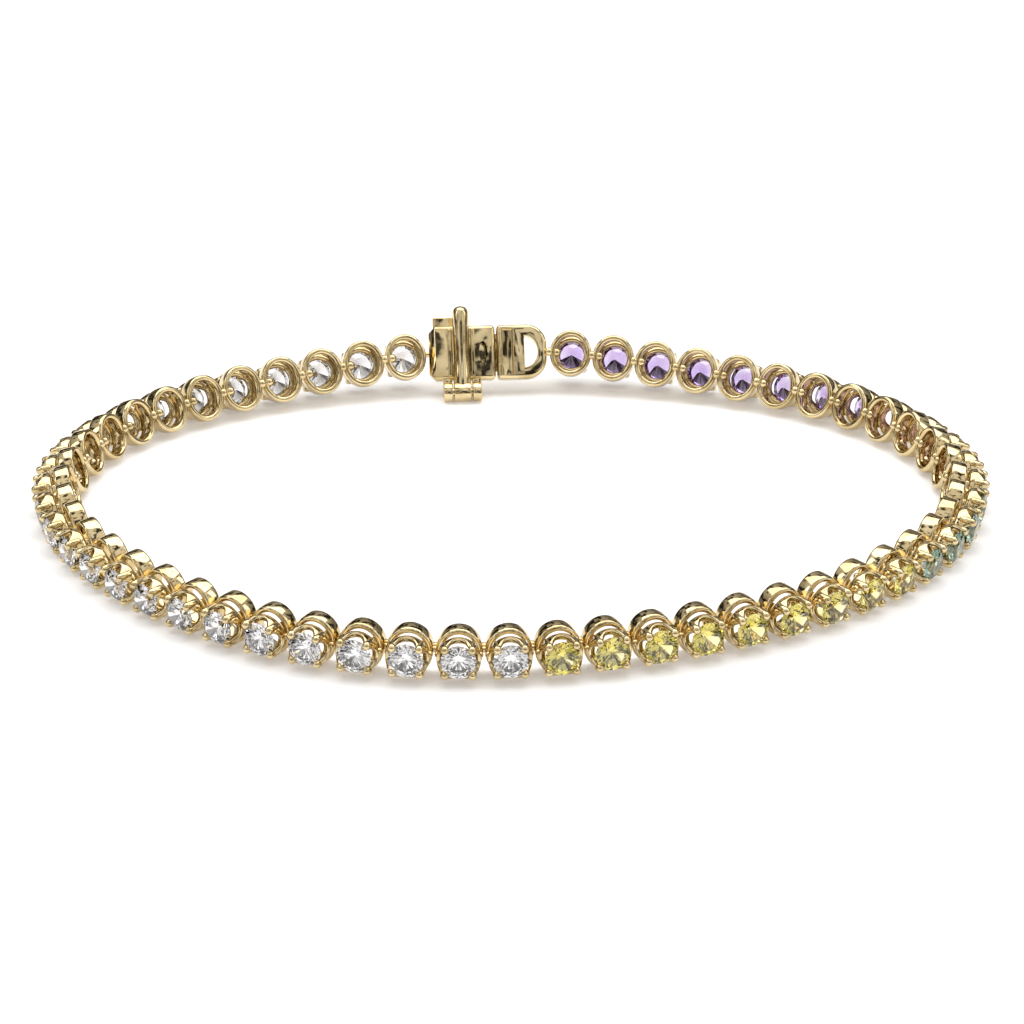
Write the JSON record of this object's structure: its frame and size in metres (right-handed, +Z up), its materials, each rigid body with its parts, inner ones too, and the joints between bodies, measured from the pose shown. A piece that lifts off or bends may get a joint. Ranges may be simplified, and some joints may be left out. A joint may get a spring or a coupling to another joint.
{
  "type": "tennis bracelet",
  "caption": "Hinged loop of round prong-set stones, half white and half graded yellow to violet, closed by a box clasp with a safety lever.",
  "frame": {"origin": "middle of the footprint, on the surface that the bracelet lies on", "axes": "+X along the loop's longer width and the clasp, +Y from the middle of the front to the clasp, +Z up from the surface"},
  "size_m": [0.068, 0.0546, 0.0066],
  "materials": {
    "gold": "mirror-polished pale yellow gold",
    "white_stone": "clear faceted stone",
    "yellow_stone": "lemon-yellow faceted stone",
    "green_stone": "sage-green faceted stone",
    "pink_stone": "dusty-pink faceted stone",
    "violet_stone": "violet faceted stone"
  },
  "bodies": {
    "bracelet": {"white_stone_links": "gold", "coloured_stone_links": "gold", "clasp_box": "gold", "clasp_tongue": "gold", "hinge_pin": "gold"},
    "safety_lever": {"safety_lever": "gold"}
  },
  "joints": [
    {"name": "safety_hinge", "type": "hinge", "parent": "bracelet", "child": "safety_lever", "pos_m": [-0.00229, 0.0227, 0.00073], "axis": [1, 0, 0], "range_deg": [0, 110]}
  ]
}
